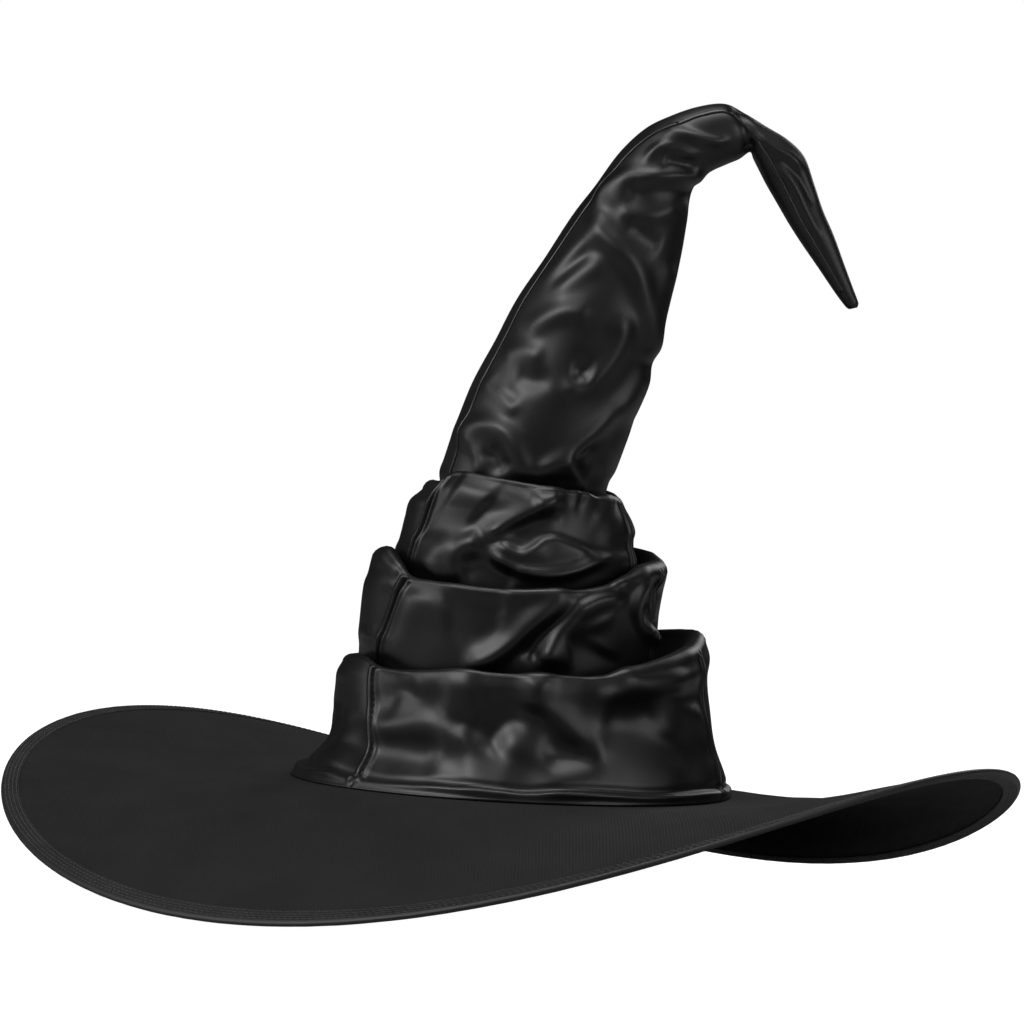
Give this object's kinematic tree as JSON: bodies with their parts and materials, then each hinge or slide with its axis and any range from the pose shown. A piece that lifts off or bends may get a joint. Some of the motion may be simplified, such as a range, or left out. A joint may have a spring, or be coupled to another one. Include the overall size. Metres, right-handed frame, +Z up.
{
  "type": "witch hat",
  "caption": "Black wide-brimmed pointed costume hat with a wavy wired brim, a tucked satin crown and a leaning cone whose tip folds over.",
  "frame": {"origin": "middle of the oval head opening, level with the brim's flat top round the crown", "axes": "+Z up out of the crown, -Y towards the front of the hat, +X the way the cone leans and its tip falls"},
  "size_m": [0.5, 0.5, 0.3939],
  "materials": {
    "crown_satin": "glossy black satin, soft crumpled folds",
    "brim_top_twill": "matt charcoal-black twill with a faint upright weave",
    "brim_under_twill": "matt black twill",
    "brim_interlining": "stiff pressed felt",
    "brim_binding": "folded satin tape with parallel stitch rows",
    "thread": "black sewing thread",
    "sweatband_tape": "black grosgrain tape",
    "casing_tape": "black satin casing",
    "spring_wire": "drawn spring wire",
    "wire_cap": "soft black cap"
  },
  "bodies": {
    "hat_base": {"brim_top_cover": "brim_top_twill", "brim_interlining": "brim_interlining", "brim_under_cover": "brim_under_twill", "brim_edge_binding": "brim_binding", "brim_edge_wire": "spring_wire", "brim_wire_ferrule": "spring_wire", "sweatband": "sweatband_tape", "lower_tier_front_gore": "crown_satin", "lower_tier_right_gore": "crown_satin", "lower_tier_back_gore": "crown_satin", "lower_tuck_tacks": "thread"},
    "mid_tier": {"mid_tier_front_gore": "crown_satin", "mid_tier_right_gore": "crown_satin", "mid_tier_back_gore": "crown_satin", "mid_tuck_tacks": "thread"},
    "top_tier": {"top_tier_front_gore": "crown_satin", "top_tier_right_gore": "crown_satin", "top_tier_back_gore": "crown_satin", "top_tuck_tacks": "thread"},
    "cone": {"cone_front_gore": "crown_satin", "cone_back_outer_gore": "crown_satin", "cone_back_inner_gore": "crown_satin", "cone_wire": "spring_wire", "cone_wire_casing": "casing_tape"},
    "tip": {"tip_front_gore": "crown_satin", "tip_back_gore": "crown_satin", "tip_wire": "spring_wire", "tip_wire_casing": "casing_tape", "tip_wire_end_cap": "wire_cap"}
  },
  "joints": [
    {"name": "mid_tier_slide", "type": "slide", "parent": "hat_base", "child": "mid_tier", "axis": [0, 0, 1], "range_m": [-0.012, 0.01]},
    {"name": "top_tier_slide", "type": "slide", "parent": "mid_tier", "child": "top_tier", "axis": [0, 0, 1], "range_m": [-0.012, 0.01]},
    {"name": "cone_lean", "type": "hinge", "parent": "top_tier", "child": "cone", "pos_m": [-0.001, 0, 0.148], "axis": [0, 1, 0], "range_deg": [-8, 8]},
    {"name": "tip_fold", "type": "hinge", "parent": "cone", "child": "tip", "pos_m": [0.0985, 0, 0.3285], "axis": [0, 1, 0], "range_deg": [-95, 18]}
  ],
  "couplings": [
    {"joint": "top_tier_slide", "follows": "mid_tier_slide", "ratio": 1}
  ]
}
